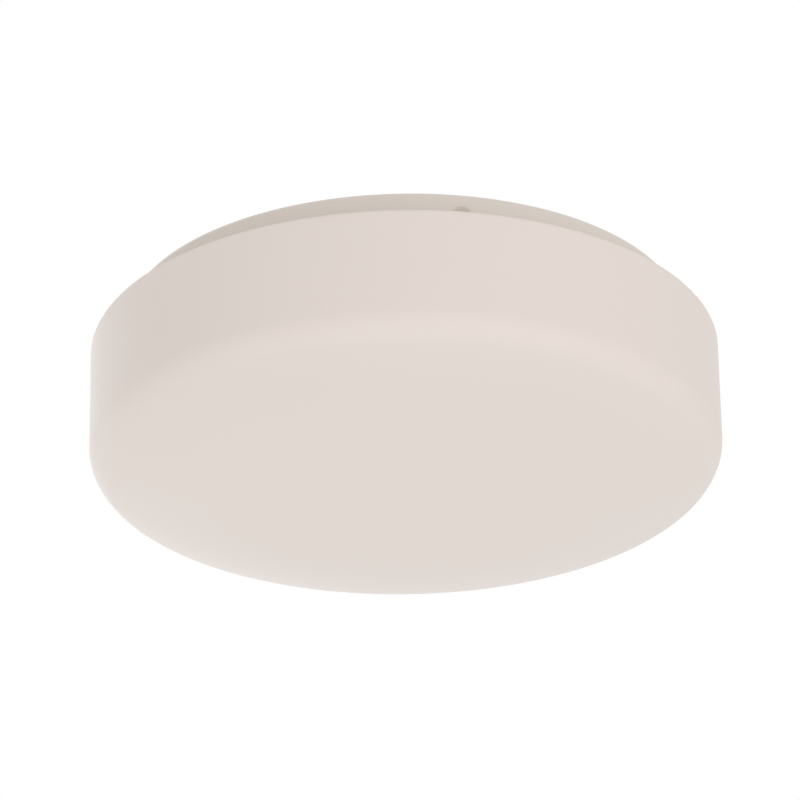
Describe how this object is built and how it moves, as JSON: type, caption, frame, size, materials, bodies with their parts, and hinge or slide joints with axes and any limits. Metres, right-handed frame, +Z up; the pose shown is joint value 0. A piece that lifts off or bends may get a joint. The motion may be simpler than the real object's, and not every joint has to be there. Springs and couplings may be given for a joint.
{
  "type": "led ceiling light",
  "caption": "Round surface-mounted LED ceiling light: a flat satin opal glass drum shade that twists onto a white pressed steel pan, with LED board, driver and terminals inside.",
  "frame": {"origin": "centre of the pan's back, on the ceiling plane, midway between the two ceiling screw slots", "axes": "+Z up into the ceiling, along the lamp's axis; X through the two ceiling screw slots; the lamp hangs below z = 0, and the picture looks along +Y from below"},
  "size_m": [0.3, 0.3, 0.0899],
  "materials": {
    "white_enamel": "satin powder coat",
    "opal_glass": "satin opal, not see-through",
    "clear_silicone": "matte",
    "black_rubber": "matte",
    "zinc_steel": "zinc plated",
    "brass": "drawn",
    "tinned_copper": "tinned",
    "white_plastic": "moulded",
    "natural_nylon": "moulded",
    "circuit_green": "solder mask",
    "winding_tape": "taped",
    "capacitor_sleeve": "shrunk sleeve",
    "thermal_silicone": "matte",
    "board_white": "white solder mask on aluminium",
    "led_phosphor": "phosphor resin",
    "brown_pvc": "extruded",
    "blue_pvc": "extruded",
    "earth_pvc": "green and yellow stripe",
    "red_pvc": "extruded",
    "black_pvc": "extruded"
  },
  "bodies": {
    "base": {"base_pan": "white_enamel", "cable_grommet": "black_rubber", "tray_pillars": "zinc_steel", "gear_tray": "white_enamel", "tray_screws": "zinc_steel", "driver_case": "white_plastic", "driver_lid": "white_plastic", "driver_board": "circuit_green", "driver_transformer": "winding_tape", "driver_capacitors": "capacitor_sleeve", "driver_screws": "zinc_steel", "thermal_pad": "thermal_silicone", "led_board": "board_white", "led_chips": "led_phosphor", "board_screws": "zinc_steel", "led_connector": "natural_nylon", "lead_bush": "black_rubber", "terminal_block": "natural_nylon", "terminal_barrels": "brass", "terminal_clamps": "zinc_steel", "terminal_fixings": "zinc_steel", "earth_tag": "tinned_copper", "earth_washer": "zinc_steel", "earth_screw": "brass", "live_lead": "brown_pvc", "neutral_lead": "blue_pvc", "earth_lead": "earth_pvc", "led_lead_positive": "red_pvc", "led_lead_negative": "black_pvc"},
    "seal": {"shade_seal": "clear_silicone"},
    "shade": {"opal_shade": "opal_glass"}
  },
  "joints": [
    {"name": "shade_drop", "type": "slide", "parent": "base", "child": "seal", "axis": [0, 0, -1], "range_m": [0, 0.0027]},
    {"name": "shade_twist", "type": "hinge", "parent": "seal", "child": "shade", "pos_m": [0, 0, 0], "axis": [0, 0, -1], "range_deg": [0, 19]}
  ],
  "couplings": [
    {"joint": "shade_drop", "follows": "shade_twist", "m_per_rad": 0.0081169}
  ]
}
